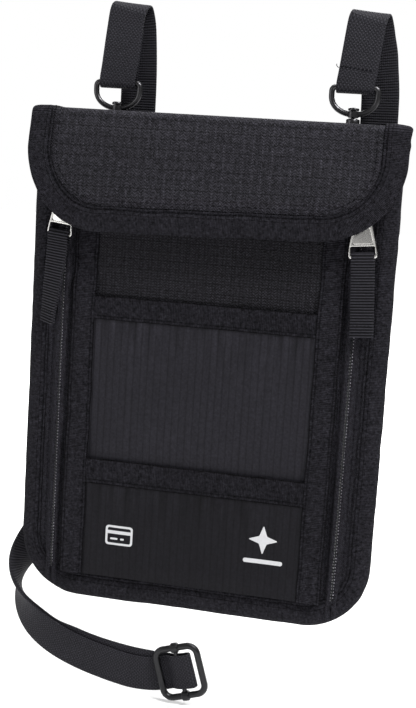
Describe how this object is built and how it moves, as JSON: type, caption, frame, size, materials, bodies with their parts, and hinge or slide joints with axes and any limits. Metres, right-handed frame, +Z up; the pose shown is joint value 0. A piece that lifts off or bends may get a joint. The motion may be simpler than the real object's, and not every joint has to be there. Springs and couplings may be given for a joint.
{
  "type": "neck pouch wallet",
  "caption": "Flat zipped travel pouch with a fold-over flap, tiered slip pockets, bound edge and an adjustable webbing neck strap on swivel hooks.",
  "frame": {"origin": "middle of the pouch's bottom edge, on the outer surface of the back panel that rests on the wearer", "axes": "+Z up towards the flap fold, +Y towards the wearer, front faces -Y, +X to the right seen from the front"},
  "size_m": [0.1603, 0.0267, 0.294],
  "materials": {
    "ripstop_nylon": "ripstop weave, matt",
    "satin_nylon": "smooth nylon, slight sheen",
    "binding_tape": "plain woven tape",
    "zipper_tape": "knitted zip tape",
    "zipper_coil": "moulded coil, satin",
    "lining_cloth": "plain lining",
    "blocking_film": "metallised film",
    "nickel_metal": "cast and plated, satin nickel",
    "black_metal": "black plated, semi gloss",
    "grosgrain_ribbon": "ribbed ribbon",
    "hook_and_loop": "hook and loop pile",
    "webbing": "ribbed nylon webbing"
  },
  "bodies": {
    "pouch": {"adjuster_bar": "black_metal", "back_lining": "lining_cloth", "back_panel": "ripstop_nylon", "divider_panel": "lining_cloth", "edge_binding": "binding_tape", "front_loop_patch": "hook_and_loop", "front_panel": "ripstop_nylon", "lower_pocket_hem": "binding_tape", "lower_pocket_panel": "satin_nylon", "mouth_binding": "binding_tape", "neck_strap": "webbing", "rfid_liner_back": "blocking_film", "rfid_liner_front": "blocking_film", "side_tape_left": "binding_tape", "side_tape_right": "binding_tape", "strap_tab_left": "webbing", "strap_tab_right": "webbing", "upper_pocket_hem": "binding_tape", "upper_pocket_panel": "satin_nylon", "zipper_coil_left": "zipper_coil", "zipper_coil_right": "zipper_coil", "zipper_stops": "black_metal", "zipper_tape_left": "zipper_tape", "zipper_tape_right": "zipper_tape"},
    "flap_fold": {"flap_fold_strip": "ripstop_nylon"},
    "flap": {"flap_panel": "ripstop_nylon", "flap_lining": "lining_cloth", "flap_binding": "binding_tape", "flap_hook_patch": "hook_and_loop"},
    "adjuster": {"adjuster_frame": "black_metal"},
    "slider_left": {"zipper_slider_left": "nickel_metal"},
    "puller_left": {"pull_tab_left": "nickel_metal"},
    "ribbon_left": {"pull_ribbon_left": "grosgrain_ribbon"},
    "ring_left": {"d_ring_left": "black_metal"},
    "hook_left": {"swivel_hook_left": "black_metal", "gate_pin_left": "black_metal", "gate_spring_left": "black_metal"},
    "gate_left": {"hook_gate_left": "black_metal"},
    "slider_right": {"zipper_slider_right": "nickel_metal"},
    "puller_right": {"pull_tab_right": "nickel_metal"},
    "ribbon_right": {"pull_ribbon_right": "grosgrain_ribbon"},
    "ring_right": {"d_ring_right": "black_metal"},
    "hook_right": {"swivel_hook_right": "black_metal", "gate_pin_right": "black_metal", "gate_spring_right": "black_metal"},
    "gate_right": {"hook_gate_right": "black_metal"}
  },
  "joints": [
    {"name": "flap_back_fold", "type": "hinge", "parent": "pouch", "child": "flap_fold", "pos_m": [0, -0.0009, 0.205], "axis": [-1, 0, 0], "range_deg": [0, 80]},
    {"name": "flap_front_fold", "type": "hinge", "parent": "flap_fold", "child": "flap", "pos_m": [0, -0.0109, 0.205], "axis": [-1, 0, 0], "range_deg": [0, 80]},
    {"name": "zip_left", "type": "slide", "parent": "pouch", "child": "slider_left", "axis": [0, 0, -1], "range_m": [0, 0.146]},
    {"name": "puller_swing_left", "type": "hinge", "parent": "slider_left", "child": "puller_left", "pos_m": [-0.0605, -0.0107, 0.17285], "axis": [-0.9954, 0, 0.0958], "range_deg": [0, 14]},
    {"name": "ribbon_swing_left", "type": "hinge", "parent": "puller_left", "child": "ribbon_left", "pos_m": [-0.06221, -0.0107, 0.15513], "axis": [-0.9954, 0, 0.0958], "range_deg": [0, 60]},
    {"name": "ring_tilt_left", "type": "hinge", "parent": "pouch", "child": "ring_left", "pos_m": [-0.0443, 0.003, 0.2176], "axis": [1, 0, 0], "range_deg": [0, 2.5]},
    {"name": "hook_swivel_left", "type": "hinge", "parent": "ring_left", "child": "hook_left", "pos_m": [-0.0443, 0.003, 0.2056], "axis": [0, 0, 1], "range_deg": [-5, 5]},
    {"name": "gate_left", "type": "hinge", "parent": "hook_left", "child": "gate_left", "pos_m": [-0.0391, 0.003, 0.1994], "axis": [0, 1, 0], "range_deg": [0, 25], "stiffness_Nm_per_rad": 0.004},
    {"name": "zip_right", "type": "slide", "parent": "pouch", "child": "slider_right", "axis": [0, 0, -1], "range_m": [0, 0.146]},
    {"name": "puller_swing_right", "type": "hinge", "parent": "slider_right", "child": "puller_right", "pos_m": [0.0605, -0.0107, 0.17285], "axis": [-0.9954, 0, -0.0958], "range_deg": [0, 14]},
    {"name": "ribbon_swing_right", "type": "hinge", "parent": "puller_right", "child": "ribbon_right", "pos_m": [0.06221, -0.0107, 0.15513], "axis": [-0.9954, 0, -0.0958], "range_deg": [0, 60]},
    {"name": "ring_tilt_right", "type": "hinge", "parent": "pouch", "child": "ring_right", "pos_m": [0.0527, 0.003, 0.2203], "axis": [1, 0, 0], "range_deg": [0, 2.5]},
    {"name": "hook_swivel_right", "type": "hinge", "parent": "ring_right", "child": "hook_right", "pos_m": [0.0527, 0.003, 0.2083], "axis": [0, 0, 1], "range_deg": [-5, 5]},
    {"name": "gate_right", "type": "hinge", "parent": "hook_right", "child": "gate_right", "pos_m": [0.0579, 0.003, 0.2021], "axis": [0, 1, 0], "range_deg": [0, 25], "stiffness_Nm_per_rad": 0.004},
    {"name": "adjuster_play", "type": "slide", "parent": "pouch", "child": "adjuster", "axis": [0.9563, 0, 0.2924], "range_m": [-0.0012, 0.0012]}
  ],
  "couplings": [
    {"joint": "flap_front_fold", "follows": "flap_back_fold", "ratio": 1}
  ]
}
